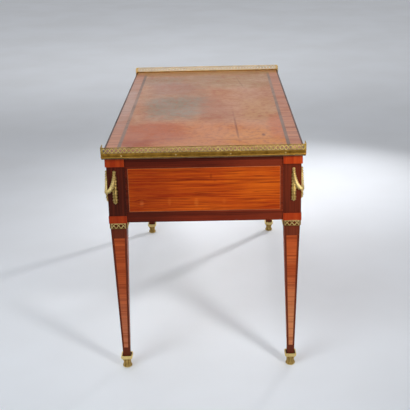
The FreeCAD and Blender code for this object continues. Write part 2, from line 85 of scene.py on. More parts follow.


# Surfaces as arrays: a shell is points, four-sided faces and a relief from 0 in hollows to 1 on crests,
# into which some pieces also put painted highlight and painted shade

# Faces of a grid of points whose rows close round, and whose columns do too where a wrap is asked for
def gridFaces(rows, cols, wrapRows=False):
    row, col = np.meshgrid(np.arange(rows - (not wrapRows)), np.arange(cols), indexing="ij")
    here, there, nextCol = row * cols, (row + 1) % rows * cols, (col + 1) % cols
    return np.stack([here + col, there + col, there + nextCol, here + nextCol], -1).reshape(-1, 4)


# A grid of points as a shell; where it doesn't wrap, a row shrunk to its middle closes each end
def gridShell(grid, relief, wrapRows=False):
    if not wrapRows:
        ends = np.repeat(grid[[0, -1]].mean(1, keepdims=True), grid.shape[1], 1)
        grid = np.concatenate([ends[:1], grid, ends[1:]])
        relief = np.concatenate([relief[:1], relief, relief[-1:]])
    rows, cols = grid.shape[:2]
    return grid.reshape(-1, 3), gridFaces(rows, cols, wrapRows), relief.reshape(-1)


# Even angles round a full turn
def fullTurn(count):
    return np.linspace(0, 2 * np.pi, count, endpoint=False)


def unit(vectors):
    return vectors / np.linalg.norm(vectors, axis=-1, keepdims=True)


# Flat points or outs as 3-D rows
def withHeight(flat, height=0.0):
    return np.column_stack([flat, np.full(len(flat), height)])


# How far along a line each of its points lies
def reachAlong(line):
    return np.concatenate([[0], np.cumsum(np.linalg.norm(np.diff(line, axis=0), axis=1))])


# Rows given at the reaches of a line, read off at other distances along it
def rowsAt(far, reach, rows):
    return np.stack([np.interp(far, reach, column) for column in rows.T], -1)


# A tube along a path: each point of the ring stands off the path by cosine times out and sine times side
def tubeShell(path, outs, radiusOut, radiusSide, loop=False, bothWays=False):
    sides = 8
    ahead = np.roll(path, -1, 0) - np.roll(path, 1, 0) if loop else np.gradient(path, axis=0)
    ahead = unit(ahead)
    outs = unit(outs - (outs * ahead).sum(-1, keepdims=True) * ahead)
    across = np.cross(ahead, outs) * np.broadcast_to(radiusSide, len(path))[:, None]
    outs = outs * np.broadcast_to(radiusOut, len(path))[:, None]
    turn = fullTurn(sides)
    ring = np.cos(turn)[:, None] * outs[:, None] + np.sin(turn)[:, None] * across[:, None]
    relief = np.broadcast_to(0.5 + 0.5 * np.cos(turn * (2 if bothWays else 1)), (len(path), sides))
    return gridShell(path[:, None] + ring, relief, wrapRows=loop)


# A profile of (stand, height) points carried along a level path, standing out along the path's own outs
def profileShell(path, outs, profile, relief):
    stand, height = np.asarray(profile, float).T
    grid = path[:, None] + outs[:, None] * stand[:, None]
    grid[..., 2] = path[:, 2:] + height
    return gridShell(grid, np.broadcast_to(relief, grid.shape[:2]))


# A profile of (radius, height) points turned about an axis, its radius scaled by ripple over the turn
def turnedShell(centre, axis, profile, sides, ripple=np.ones_like, relief=0.8):
    radius, height = np.asarray(profile, float).T
    axis = unit(np.asarray(axis, float))
    first = unit(np.cross([0, 0, 1] if abs(axis[2]) < 0.9 else [1, 0, 0], axis))
    turn = fullTurn(sides)
    spoke = np.cos(turn)[:, None] * first + np.sin(turn)[:, None] * np.cross(axis, first)
    grid = centre + height[:, None, None] * axis + (radius[:, None] * ripple(turn))[..., None] * spoke
    return gridShell(grid, np.broadcast_to(relief, (sides, len(radius))).T)


# Shells stacked into one, each one's face numbers moved up by the points before it
def joinShells(shells):
    starts = np.cumsum([0] + [len(shell[0]) for shell in shells[:-1]])
    points = np.concatenate([shell[0] for shell in shells])
    faces = np.concatenate([shell[1] + start for shell, start in zip(shells, starts)])
    return points, faces, np.concatenate([shell[2] for shell in shells])


# One mesh object from shells given in millimetres, its poles merged and its faces turned outwards
def makePiece(name, shells, material, body="carcase", stands=(), sharp=45):
    points, faces, relief = joinShells(shells)
    mesh = bpy.data.meshes.new(name)
    mesh.from_pydata((points * mm).tolist(), [], faces.tolist())
    mesh.attributes.new("relief", "FLOAT", "POINT").data.foreach_set("value", relief.astype(np.float32))
    work = bmesh.new()
    work.from_mesh(mesh)
    bmesh.ops.remove_doubles(work, verts=work.verts, dist=2e-6)
    bmesh.ops.recalc_face_normals(work, faces=work.faces)
    work.to_mesh(mesh)
    work.free()
    mesh.polygons.foreach_set("use_smooth", np.ones(len(mesh.polygons), bool))
    mesh.set_sharp_from_angle(angle=math.radians(sharp))
    mesh.materials.append(material)
    piece = bpy.data.objects.new(name, mesh)
    scene.collection.objects.link(piece)
    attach(piece, body)
    if stands:
        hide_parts(*stands)


# Materials

# A screen colour, three numbers from 0 to 255, as the light values that nodes use
def tint(numbers):
    share = np.array(numbers) / 255.0
    light = np.where(share <= 0.04045, share / 12.92, ((share + 0.055) / 1.055) ** 2.4)
    return (*light.tolist(), 1.0)


# One node, its settings by attribute name and its inputs by socket: a socket is linked, a value is set
def put(tree, kind, inputs=None, **settings):
    made = tree.nodes.new(kind)
    for key, value in settings.items():
        setattr(made, key, value)
    for key, value in (inputs or {}).items():
        if isinstance(value, bpy.types.NodeSocket):
            tree.links.new(value, made.inputs[key])
        else:
            made.inputs[key].default_value = value
    return made


# Arithmetic on sockets; the first value is always a socket, and the new node goes into its tree
def calc(operation, first, *others):
    inputs = dict(enumerate((first, *others)))
    return put(first.id_data, "ShaderNodeMath", inputs, operation=operation).outputs[0]


plus, minus = partial(calc, "ADD"), partial(calc, "SUBTRACT")
times, timesPlus = partial(calc, "MULTIPLY"), partial(calc, "MULTIPLY_ADD")


def vectorCalc(operation, first, *others):
    inputs = dict(enumerate((first, *others)))
    return put(first.id_data, "ShaderNodeVectorMath", inputs, operation=operation).outputs


def blendColour(amount, low, high):
    return put(amount.id_data, "ShaderNodeMix", {0: amount, 6: low, 7: high}, data_type="RGBA").outputs[2]


# A colour with another laid over it by a share of a mask
def layColour(colour, mask, share, over):
    return blendColour(times(mask, share), colour, over)


# 0 below low, 1 above high and a smooth rise between, or a fall where low is the larger
def rise(value, low, high):
    return put(value.id_data, "ShaderNodeMapRange", {0: value, 1: low, 2: high},
               interpolation_type="SMOOTHSTEP").outputs[0]


def noise(vector, scale, detail, roughness=0.55, distortion=0.0):
    inputs = {"Vector": vector, "Scale": scale, "Detail": detail, "Roughness": roughness,
              "Distortion": distortion}
    return put(vector.id_data, "ShaderNodeTexNoise", inputs).outputs[0]


def stretch(x, y, z):
    return put(x.id_data, "ShaderNodeCombineXYZ", {0: x, 1: y, 2: z}).outputs[0]


# A point's place in the object, whole and as its three numbers
def objectPlace(tree):
    place = put(tree, "ShaderNodeTexCoord").outputs["Object"]
    return place, *put(tree, "ShaderNodeSeparateXYZ", {0: place}).outputs


def newMaterial(name, colour, constants):
    material = bpy.data.materials.new(name)
    material.use_nodes = True
    material.diffuse_color = colour
    tree = material.node_tree
    shader = tree.nodes["Principled BSDF"]
    for key, value in constants.items():
        shader.inputs[key].default_value = value
    return material, tree, shader


# Colour, roughness and a height as bump, led into a material's shader
def finishShader(shader, colour, rough, height, strength, distance):
    tree = shader.id_data
    bump = put(tree, "ShaderNodeBump", {"Height": height, "Strength": strength, "Distance": distance})
    for label, value in (("Base Color", colour), ("Roughness", rough), ("Normal", bump.outputs[0])):
        tree.links.new(value, shader.inputs[label])


# An empty node group, and the sockets that give what it is fed
def newGroup(name, inputs, outputs):
    group = bpy.data.node_groups.new(name, "ShaderNodeTree")
    for way, sockets in (("INPUT", inputs), ("OUTPUT", outputs)):
        for label, kind in sockets.items():
            group.interface.new_socket(label, in_out=way, socket_type=kind)
    return group, group.nodes.new("NodeGroupInput").outputs[:len(inputs)]


# A group with its results led out, in the order of its outputs
def giveResults(group, *results):
    ends = group.nodes.new("NodeGroupOutput").inputs
    for index, result in enumerate(results):
        group.links.new(result, ends[index])
    return group


def useGroup(tree, group, inputs):
    return put(tree, "ShaderNodeGroup", inputs, node_tree=group).outputs


scalar, colourKind, vectorKind = "NodeSocketFloat", "NodeSocketColor", "NodeSocketVector"


# Wood figure: noise drawn out along the grain, with veins where it passes its middle value
def makeFigureGroup():
    group, (run, across, seed, streaks) = newGroup(
        "woodFigure", dict.fromkeys(("Run", "Across", "Seed", "Streaks"), scalar),
        dict.fromkeys(("Streak", "Fibre", "Pore", "Cloud", "Vein"), scalar))

    def drawn(along, line, dense, detail, roughness=0.55, start=seed):
        return noise(stretch(times(run, along), times(line, dense), start), 1.0, detail, roughness)

    bent = timesPlus(drawn(4.0, across, 9.0, 2.0), 0.006, across)
    ring = drawn(1.3, bent, times(streaks, 0.8), 1.0, start=plus(seed, 4.0))
    return giveResults(
        group,
        rise(drawn(1.7, bent, streaks, 3.0, 0.6), 0.36, 0.64),
        rise(drawn(11.0, bent, 640.0, 2.0), 0.3, 0.7),
        rise(drawn(70.0, bent, 1500.0, 1.0), 0.6, 0.74),
        rise(drawn(5.0, across, 12.0, 3.0), 0.35, 0.65),
        rise(calc("ABSOLUTE", minus(ring, 0.5)), 0.05, 0.0))


# Handling marks: soft smudges, and scratches where a drawn-out noise crosses its middle value
def makeWearGroup():
    group, (place, density) = newGroup("handlingMarks", {"Place": vectorKind, "Density": scalar},
                                       {"Smudge": scalar, "Scratch": scalar})
    smudge = rise(noise(place, 9.0, 4.0, 0.6), 0.42, 0.68)
    turned = put(group, "ShaderNodeMapping", {"Vector": place, "Rotation": (0.3, 0.2, 0.5),
                                              "Scale": (9.0, 160.0, 90.0)}).outputs[0]
    line = calc("ABSOLUTE", minus(noise(turned, 1.0, 1.0), 0.5))
    patch = rise(noise(place, 21.0, 2.0), timesPlus(density, -1.0, 0.75), 0.8)
    return giveResults(group, smudge, times(rise(line, 0.016, 0.0), patch))


# Old gilding: bright where its relief is high, as where it stands proud and has been worn by rubbing and
# where a painted highlight is put in, brown where it is low, as in the hollows and where painted shade is
# put in, specked all over
def makeGildingGroup():
    group, (place, relief, bright, middle, hollow, base) = newGroup(
        "oldGilding",
        {"Place": vectorKind, "Relief": scalar, "Bright": colourKind, "Middle": colourKind,
         "Hollow": colourKind, "Rough": scalar},
        {"Colour": colourKind, "Roughness": scalar, "Height": scalar})
    blotch = noise(place, 55.0, 4.0, 0.6)
    speck = rise(noise(place, 420.0, 3.0, 0.7), 0.58, 0.72)
    level = plus(relief, times(minus(blotch, 0.5), 0.7))
    colour = blendColour(rise(level, 0.08, 0.5), hollow, middle)
    colour = blendColour(rise(level, 0.55, 1.0), colour, bright)
    colour = layColour(colour, speck, 0.45, hollow)
    rough = timesPlus(rise(level, 1.0, 0.1), 0.22, base)
    rough = timesPlus(speck, 0.15, rough)
    height = timesPlus(noise(place, 700.0, 2.0), 0.6, blotch)
    return giveResults(group, colour, rough, height)


woodFigure = makeFigureGroup()
handlingMarks = makeWearGroup()
oldGilding = makeGildingGroup()
print("node groups made")


# Ways that grain lies, each giving how far a point is along the grain and across it

def levelGrain(place, x, y, z):
    return plus(x, y), z


def uprightGrain(place, x, y, z):
    return z, plus(x, y)


# Grain along X on a flat board
def boardGrain(place, x, y, z):
    return x, plus(y, z)


# Grain square to the nearer edge of the top, so it changes at the mitres
def edgeGrain(place, x, y, z):
    halfLength, halfWidth = 0.675, 0.314
    fromEnd, fromSide = minus(calc("ABSOLUTE", x), halfLength), minus(calc("ABSOLUTE", y), halfWidth)
    turnRun = times(minus(x, y), calc("GREATER_THAN", fromEnd, fromSide))
    return plus(y, turnRun), minus(x, turnRun)


# Level grain that swells round a small knot low on the near end
def knottedGrain(place, x, y, z):
    knot, reach = (0.663, -0.200, 0.589), 0.024
    swell = times(rise(vectorCalc("DISTANCE", place, knot)["Value"], reach, 0.0), 0.75)
    return plus(x, y), minus(z, times(minus(z, knot[2]), swell))


# What most veneers share; each veneer gives what differs and five screen colours: its dark and light
# streaks, clouds, veins and pores
commonVeneer = {
    "grain": levelGrain, "streaks": 120.0,
    "short": 1.0,            # how many times shorter the figure is along the grain
    "cloudShare": 0.5, "veinShare": 0.5, "fibreShare": 0.25, "poreShare": 0.4,
    "rough": 0.34, "coat": 0.03, "gloss": 0.1,
    "markDensity": 0.18, "scratchShare": 0.35,
    "foot": None,            # another colour towards the foot: colour, height from, height to, share
    "spots": (),             # places that differ, some of them painted light and painted shade: middle and half size in metres, colour, share
    "spotSoft": 0.8, "spotRagged": 0.3,
}

veneers = {
    "satinwoodFields": {
        "grain": knottedGrain, "seed": 3.1, "streaks": 165.0, "short": 2.3,
        "colours": ((152, 44, 6), (214, 94, 16), (180, 60, 8), (104, 26, 4), (92, 26, 4)),
        "cloudShare": 0.35, "veinShare": 0.6, "poreShare": 0.3,
        "spots": [
            # darker on the left and lighter on the right, partly the wood's own tone and partly painted
            # shade and painted light from the lamps on the right
            ((0.663, -0.180, 0.640), (0.05, 0.14, 0.100), (142, 32, 6), 0.55),
            ((0.663, 0.180, 0.640), (0.05, 0.15, 0.080), (206, 98, 14), 0.40),
            ((0.663, -0.110, 0.589), (0.05, 0.008, 0.017), (222, 112, 36), 0.38),
            ((0.663, -0.026, 0.587), (0.05, 0.010, 0.020), (226, 118, 40), 0.42),
            ((0.663, 0.062, 0.590), (0.05, 0.010, 0.014), (220, 112, 36), 0.30),
            ((0.663, -0.197, 0.587), (0.05, 0.008, 0.013), (224, 116, 56), 0.40),
            ((0.663, 0.022, 0.672), (0.05, 0.006, 0.013), (112, 30, 6), 0.55),
            ((0.663, 0.034, 0.658), (0.05, 0.010, 0.006), (112, 30, 6), 0.45),
        ],
    },
    "satinwoodLegs": {
        "seed": 8.4, "streaks": 110.0,
        "colours": ((150, 57, 22), (202, 95, 43), (170, 70, 30), (118, 42, 16), (110, 40, 18)),
        "poreShare": 0.25, "rough": 0.36,
        # paler towards the foot, painted light thrown up from the floor; paler low on the near right leg,
        # painted light from the lamps on the right
        "foot": ((204, 130, 94), 0.36, 0.08, 0.70),
        "spots": [((0.650, 0.265, 0.150), (0.10, 0.10, 0.24), (228, 152, 96), 0.60)],
    },
    "satinwoodCaps": {
        "grain": uprightGrain, "seed": 1.7, "streaks": 70.0,
        "colours": ((160, 46, 12), (192, 72, 22), (174, 56, 18), (136, 38, 10), (110, 30, 8)),
        "cloudShare": 0.4, "veinShare": 0.35, "poreShare": 0.3, "rough": 0.36,
        "foot": ((146, 46, 14), 0.62, 0.56, 0.45),
    },
    "satinwoodBanding": {
        "grain": edgeGrain, "seed": 5.2, "streaks": 95.0,
        "colours": ((143, 86, 66), (187, 127, 96), (164, 107, 86), (128, 72, 54), (104, 58, 44)),
        "veinShare": 0.4, "poreShare": 0.3, "rough": 0.38, "gloss": 0.15,
        "spots": [
            # the near end is made darker and browner as painted shade of the near gallery; the far end
            # golden as painted reflection and shadow of the far gallery
            ((0.655, 0.0, 0.75), (0.060, 1.50, 0.10), (112, 56, 14), 0.95),
            ((-0.655, 0.0, 0.75), (0.060, 1.50, 0.10), (164, 116, 58), 0.90),
            # lighter at the near right corner, painted light from the lamps on the right
            ((0.650, 0.290, 0.75), (0.10, 0.04, 0.10), (224, 156, 104), 0.60),
            ((-0.060, -0.295, 0.75), (0.62, 0.05, 0.10), (164, 141, 132), 0.80),
        ],
    },
    "amaranthUpright": {
        "grain": uprightGrain, "seed": 2.9,
        "colours": ((58, 19, 8), (106, 38, 18), (80, 26, 12), (40, 13, 6), (30, 10, 5)),
        "spots": [
            # lighter on the right and darker on the left, painted light and painted shade from the lamps on
            # the right
            ((0.665, 0.275, 0.630), (0.06, 0.07, 0.16), (124, 48, 24), 0.50),
            ((0.665, -0.275, 0.600), (0.06, 0.07, 0.14), (52, 16, 8), 0.45),
        ],
        "foot": ((126, 58, 32), 0.54, 0.50, 0.55),
    },
    "amaranthLevel": {
        "seed": 6.6,
        "colours": ((70, 20, 8), (124, 42, 18), (94, 28, 12), (48, 14, 6), (34, 10, 5)),
        "spots": [
            # lighter on the right and darker on the left, painted light and painted shade from the lamps on
            # the right
            ((0.660, 0.200, 0.640), (0.10, 0.24, 0.30), (142, 56, 28), 0.50),
            ((0.660, -0.230, 0.560), (0.10, 0.16, 0.10), (58, 18, 8), 0.50),
        ],
    },
    "amaranthTop": {
        "seed": 4.3,
        "colours": ((50, 22, 13), (88, 46, 31), (66, 33, 22), (48, 28, 22), (36, 22, 18)),
        "veinShare": 0.4, "rough": 0.36, "gloss": 0.15,
    },
    "stringingBrown": {
        "seed": 7.7,
        "colours": ((104, 80, 70), (142, 112, 98), (122, 94, 82), (86, 64, 54), (70, 50, 42)),
        "veinShare": 0.4, "rough": 0.38, "gloss": 0.15,
        "spots": [
            # at both ends the stringing is tinted, orange near and golden far, as painted reflection and
            # shade of the galleries
            ((0.630, 0.0, 0.75), (0.050, 1.50, 0.10), (158, 92, 40), 0.95),
            ((-0.630, 0.0, 0.75), (0.050, 1.50, 0.10), (156, 114, 62), 0.90),
        ],
    },
    "stringingPale": {
        "seed": 1.2, "streaks": 200.0,
        "colours": ((150, 82, 46), (194, 122, 78), (172, 100, 62), (140, 84, 54), (110, 64, 40)),
        "veinShare": 0.3, "poreShare": 0.3, "rough": 0.4, "gloss": 0.15,
    },
    "plainOak": {
        "grain": boardGrain, "seed": 9.5, "streaks": 70.0,
        "colours": ((134, 96, 58), (186, 146, 98), (158, 118, 74), (112, 78, 44), (84, 56, 30)),
        "poreShare": 0.6, "rough": 0.62, "coat": 0.0, "gloss": 0.3,
        # the ends of the top board, under the edging band, are painted dark as painted shade under the band
        "spots": [
            ((0.678, 0.0, 0.742), (0.012, 2.00, 0.03), (52, 22, 12), 0.95),
            ((-0.678, 0.0, 0.742), (0.012, 2.00, 0.03), (52, 22, 12), 0.95),
        ],
    },
}


# How far inside an oval (or a squarer patch) a place is: 1 at its middle, 0 at its edge, worn ragged
def ovalMask(place, middle, size, turn, ragged, soft, square=False):
    shifted = vectorCalc("SUBTRACT", place, middle)[0]
    turned = put(place.id_data, "ShaderNodeMapping", {"Vector": shifted, "Rotation": (0.0, 0.0, turn)},
                 vector_type="TEXTURE").outputs[0]
    scaled = vectorCalc("MULTIPLY", turned, tuple(1 / s for s in size))[0]
    if square:
        scaled = vectorCalc("MULTIPLY", scaled, scaled)[0]
    far = vectorCalc("LENGTH", scaled)["Value"]
    if square:
        far = calc("POWER", far, 0.5)
    return rise(plus(far, ragged), 1.0, 1.0 - soft)


# Veneer: streaks between two colours, clouded, crossed by fibres and pores, dulled where hands have been
def makeVeneer(name, values):
    dark, light, cloud, vein, pore = map(tint, values["colours"])
    material, tree, shader = newMaterial(name, light, {
        "Coat Weight": values["coat"], "Coat Roughness": 0.14, "Specular IOR Level": values["gloss"]})
    place, x, y, z = objectPlace(tree)
    run, across = values["grain"](place, x, y, z)
    figure = useGroup(tree, woodFigure, {"Run": times(run, values["short"]), "Across": across,
                                         "Seed": values["seed"], "Streaks": values["streaks"]})
    marks = useGroup(tree, handlingMarks, {"Place": place, "Density": values["markDensity"]})
    colour = blendColour(figure["Streak"], dark, light)
    colour = layColour(colour, figure["Cloud"], values["cloudShare"], cloud)
    if values["foot"]:
        footColour, high, low, share = values["foot"]
        colour = layColour(colour, rise(z, high, low), share, tint(footColour))
    ragged = times(minus(figure["Cloud"], 0.5), values["spotRagged"])
    for middle, size, spot, share in values["spots"]:
        mask = ovalMask(place, middle, size, 0.0, ragged, values["spotSoft"])
        colour = layColour(colour, mask, share, tint(spot))
    for mask, share, over in ((figure["Vein"], values["veinShare"], vein),
                              (figure["Fibre"], values["fibreShare"], light),
                              (figure["Pore"], values["poreShare"], pore),
                              (marks["Scratch"], values["scratchShare"], light)):
        colour = layColour(colour, mask, share, over)
    rough = timesPlus(marks["Smudge"], 0.14, values["rough"] - 0.04)
    rough = timesPlus(figure["Fibre"], 0.06, rough)
    height = minus(times(figure["Fibre"], 0.4), figure["Pore"])
    height = minus(height, times(marks["Scratch"], 0.6))
    finishShader(shader, colour, rough, height, 0.25, 0.0002)
    return material


finishes = {name: makeVeneer(name, {**commonVeneer, **values}) for name, values in veneers.items()}


gilding = {
    "castWork": {
        "bright": (0.84, 0.64, 0.26, 1.0), "middle": (0.46, 0.29, 0.075, 1.0),
        "hollow": (0.10, 0.052, 0.011, 1.0), "metal": 0.75, "rough": 0.38,
    },
    "gallery": {
        "bright": (0.94, 0.71, 0.26, 1.0), "middle": (0.42, 0.26, 0.045, 1.0),
        "hollow": (0.07, 0.036, 0.007, 1.0), "metal": 0.40, "rough": 0.40,
    },
    "galleryPaintedPale": {         # the far gallery, a copy of the gallery gilding painted paler as painted light
        "bright": (0.98, 0.80, 0.42, 1.0), "middle": (0.86, 0.60, 0.21, 1.0),
        "hollow": (0.24, 0.14, 0.03, 1.0), "metal": 0.20, "rough": 0.42,
    },
    "band": {
        "bright": (0.66, 0.41, 0.12, 1.0), "middle": (0.47, 0.24, 0.036, 1.0),
        "hollow": (0.11, 0.05, 0.009, 1.0), "metal": 1.0, "rough": 0.22,
    },
}


# Gilt brass; worked pieces carry their own relief, plain ones are given one
def makeGilding(name, values, plainRelief=None):
    material, tree, shader = newMaterial(name, values["bright"], {"Metallic": values["metal"]})
    relief = plainRelief or put(tree, "ShaderNodeAttribute", attribute_name="relief").outputs["Fac"]
    made = useGroup(tree, oldGilding, {
        "Place": objectPlace(tree)[0], "Relief": relief, "Bright": values["bright"],
        "Middle": values["middle"], "Hollow": values["hollow"], "Rough": values["rough"]})
    finishShader(shader, made["Colour"], made["Roughness"], made["Height"], 0.25, 0.0003)
    return material


giltWorked = makeGilding("giltWorked", gilding["castWork"])
giltGallery = makeGilding("giltGallery", gilding["gallery"])
giltGalleryPaintedPale = makeGilding("giltGalleryPaintedPale", gilding["galleryPaintedPale"])
giltBand = makeGilding("giltBand", gilding["band"])
finishes["giltPlain"] = makeGilding("giltPlain", gilding["castWork"], plainRelief=0.72)


leather = {
    "tan": (167, 118, 87), "red": (152, 86, 62), "pale": (190, 152, 118), "dark": (104, 46, 30),
    "cloudShare": 0.45, "streakShare": 0.45, "mottleShare": 0.66, "fleckShare": 0.5, "scratchShare": 0.5,
    "markDensity": 0.3, "placeSoft": 0.55, "markSoft": 0.8,
    "height": 0.75, "depth": 0.05,      # places and marks: their height and half depth
    # worn places on the writing surface, and along each end a strip of painted reflection and shade of the
    # gallery: middle and half size in metres, turn, colour, share
    "places": [
        ((0.480, 0.000), (0.270, 0.450), 0.0, (192, 112, 54), 0.62),
        ((0.530, 0.170), (0.170, 0.130), 0.0, (194, 126, 56), 0.55),
        ((0.090, 0.200), (0.240, 0.080), 0.0, (176, 134, 92), 0.55),
        ((-0.450, 0.080), (0.190, 0.270), 0.0, (154, 134, 100), 0.50),
        ((-0.460, -0.030), (0.150, 0.150), 0.0, (138, 104, 82), 0.45),
        ((-0.470, -0.190), (0.120, 0.110), 0.0, (138, 124, 108), 0.60),
        ((-0.300, -0.130), (0.150, 0.130), 0.0, (138, 92, 88), 0.55),
        ((-0.140, -0.110), (0.260, 0.190), 0.0, (144, 118, 98), 0.40),
        ((0.410, -0.175), (0.180, 0.150), 0.1, (156, 70, 46), 0.60),
        ((0.550, -0.215), (0.070, 0.070), 0.0, (140, 58, 46), 0.60),
        ((0.350, 0.245), (0.220, 0.034), 0.0, (178, 86, 46), 0.55),
        ((0.080, 0.030), (0.260, 0.080), 0.1, (142, 84, 60), 0.55),
        ((0.030, -0.115), (0.255, 0.140), 0.0, (124, 113, 98), 0.88),
        # along each end, a strip of painted reflection and shade of the gallery there
        ((-0.612, 0.000), (0.040, 1.500), 0.0, (150, 112, 60), 0.70),
        ((0.625, 0.000), (0.032, 1.500), 0.0, (150, 88, 40), 0.75),
    ],
    # marks: middle, half size, turn, share
    "marks": [
        ((0.350, 0.108), (0.270, 0.0058), 0.030, 0.72),
        ((0.465, 0.195), (0.028, 0.009), 0.0, 0.95),
        ((-0.395, 0.142), (0.150, 0.0052), 0.12, 0.45),
        ((0.500, -0.110), (0.012, 0.060), 0.0, 0.25),
        ((0.520, 0.120), (0.009, 0.130), 0.0, 0.40),
    ],
}


# Waxed leather: mottled between tan and red and streaked across the table, with worn places, a strip of
# painted reflection and shade of the gallery along each end, and marks
def makeLeather(name, values):
    tan, red, pale, dark = (tint(values[key]) for key in ("tan", "red", "pale", "dark"))
    material, tree, shader = newMaterial(name, tan, {
        "Coat Weight": 0.02, "Coat Roughness": 0.3, "Specular IOR Level": 0.2})
    place, x, y, _ = objectPlace(tree)
    height, depth = values["height"], values["depth"]
    marks = useGroup(tree, handlingMarks, {"Place": place, "Density": values["markDensity"]})
    cloud = rise(noise(place, 6.0, 5.0, 0.62, 0.4), 0.36, 0.66)
    streak = rise(noise(stretch(times(x, 75.0), times(y, 6.0), 0.0), 1.0, 4.0, 0.65), 0.4, 0.7)
    mottle = rise(noise(place, 48.0, 5.0, 0.72), 0.46, 0.62)
    fleck = rise(noise(place, 150.0, 3.0, 0.7), 0.6, 0.74)
    pebble = put(tree, "ShaderNodeTexVoronoi", {"Vector": place, "Scale": 900.0}, feature="SMOOTH_F1")
    colour = layColour(tan, cloud, values["cloudShare"], red)
    colour = layColour(colour, streak, values["streakShare"], pale)
    ragged = times(minus(noise(place, 22.0, 4.0, 0.65), 0.5), 0.9)
    for middle, size, turn, wornAndPaintedColour, share in values["places"]:
        mask = ovalMask(place, (*middle, height), (*size, depth), turn, ragged, values["placeSoft"], True)
        colour = layColour(colour, mask, share, tint(wornAndPaintedColour))
    blemish = 0.0
    for middle, size, turn, share in values["marks"]:
        mask = ovalMask(place, (*middle, height), (*size, depth), turn, ragged, values["markSoft"])
        blemish = calc("MAXIMUM", times(mask, share), blemish)
    colour = blendColour(blemish, colour, dark)
    colour = layColour(colour, mottle, values["mottleShare"], red)
    colour = layColour(colour, fleck, values["fleckShare"], dark)
    colour = layColour(colour, marks["Scratch"], values["scratchShare"], pale)
    rough = timesPlus(cloud, 0.12, 0.36)
    rough = timesPlus(marks["Smudge"], 0.1, rough)
    grain = timesPlus(streak, 0.5, pebble.outputs[0])
    finishShader(shader, colour, rough, minus(grain, times(blemish, 1.5)), 0.35, 0.0003)
    return material


finishes["waxedLeather"] = makeLeather("waxedLeather", leather)
print("materials made")


# The finish of each carried-over CAD node: the first row with a pattern that its name fits

finishRows = {
    "amaranthUpright": "leg_front* leg_back* front_stiles*",
    "satinwoodLegs": "leg_veneer_panels",
    "satinwoodCaps": "leg_cap_blocks",
    "satinwoodFields": "frieze_veneer_fields *_veneer",
    "satinwoodBanding": "top_crossbanding",
    "stringingBrown": "top_stringing",
    "amaranthTop": "top_edge_lippings",
    "waxedLeather": "leather_inset",
    "plainOak": "top_board drawer_runners *_box",
    "giltPlain": "gallery_pins *_lock *_ring",
    "amaranthLevel": "end_panel* partition* back_boards* front_* drawer_*",
}
for nodeName, node in cadNodes.items():
    for finishName, patterns in finishRows.items():
        if any(fnmatch(nodeName, pattern) for pattern in patterns.split()):
            node.data.materials.clear()
            node.data.materials.append(finishes[finishName])
            break
print("CAD nodes finished")


# Gallery and edging band at each end of the top

galleryMake = {
    "faceX": 676.8, "faceY": 315.8, "back": 639.0,      # outer faces and the ends of the returns
    "corner": 0.8,
    "foot": 753.5, "head": 773.0,
    "thick": 1.8, "headRail": 2.3, "footRail": 1.6,
    "headFree": 0.9, "footFree": 0.6,    # shares of the rails' height that the strands leave free
    "cells": 54,
    "pilaster": 8.0,         # how far the solid corner reaches along each side
    "strand": 1.85,          # half width of a strand
    "depth": 0.72,           # half thickness of a strand
    "weave": 0.18,           # how far a strand passes over and under
    "postInset": 2.6,        # from the outer faces to the middle of a corner post
    "endPost": (1.5, 0.6),   # from the end of a return, and from its line, to the middle of its post
    # radius and height of a turned post
    "post": [(1.2, 0), (1.5, 0.6), (1.1, 2.0), (0.9, 6.0), (1.25, 9.7), (0.9, 13.4), (1.1, 17.4),
             (1.5, 18.8), (1.2, 19.5)],
}

bandMake = {
    "foot": 739.0, "height": 14.5, "thick": 1.8,
    "fillet": 2.4, "bead": 1.4, "step": 0.3, "cove": 0.4,
}


# The line round one end, set in from its faces: return, rounded corner, end, rounded corner, return
def endLine(values, side, inset):
    faceX, faceY, corner = values["faceX"] - inset, values["faceY"] - inset, values["corner"]
    bend = np.linspace(0, np.pi / 2, 6)
    cornerOut = np.stack([np.cos(bend), np.sin(bend)], -1)
    line = [faceX, faceY] + corner * (cornerOut - 1)
    line = np.concatenate([line, [[values["back"], faceY]]])
    outs = np.concatenate([cornerOut, [[0, 1]]])
    line, outs = (np.concatenate([half[::-1] * [1, -1], half]) for half in (line, outs))
    turn = np.array([side, 1.0])
    return line * turn, outs * turn


# Points at given distances along a flat line, with their outs, as level 3-D points
def walkLine(line, outs, far):
    reach = reachAlong(line)
    return withHeight(rowsAt(far, reach, line)), unit(withHeight(rowsAt(far, reach, outs)))


# Two strands as waves of opposite sign, drawn towards zigzags, that pass over each other in turn
def strandShells(line, outs, far, pitch, start, values):
    flat, out = walkLine(line, outs, far)
    wave = np.pi * (far - start) / pitch
    low = values["foot"] + values["footRail"] * values["footFree"]
    high = values["head"] - values["headRail"] * values["headFree"]
    swing = (high - low) / 2 - values["strand"] * 0.7
    pointed = 0.09
    zigzag = (np.sin(wave) - pointed * np.sin(3 * wave)) / (1 + pointed)
    shells = []
    for sign in (1, -1):
        path = flat + out * (sign * values["weave"] * np.cos(wave))[:, None]
        path[:, 2] = (low + high) / 2 + sign * swing * zigzag
        shells.append(tubeShell(path, out, values["depth"], values["strand"], bothWays=True))
    return shells


# A rounded rail section, as wide and high as given
def railProfile(thick, height):
    points = 12
    turn = fullTurn(points) + np.pi / points
    ring = np.stack([np.cos(turn), np.sin(turn)], -1)
    return np.sign(ring) * np.abs(ring) ** 0.7 * [thick / 2, height / 2]


outer, upper = 0, 1


# Foot and head rail along a line, each brighter on one half of its section, the outer or the upper; on the
# gallery the brighter upper half is painted light and the darker lower half painted shade
def railShells(line, outs, values, tones, half):
    rails = values["footRail"], values["headRail"]
    middles = values["foot"] + rails[0] / 2, values["head"] - rails[1] / 2
    shells = []
    for rail, middle, tone in zip(rails, middles, tones):
        profile = railProfile(values["thick"], rail)
        relief = tone + 0.2 * (profile[:, half] > 0)
        shells.append(profileShell(withHeight(line, middle), withHeight(outs), profile, relief))
    return shells


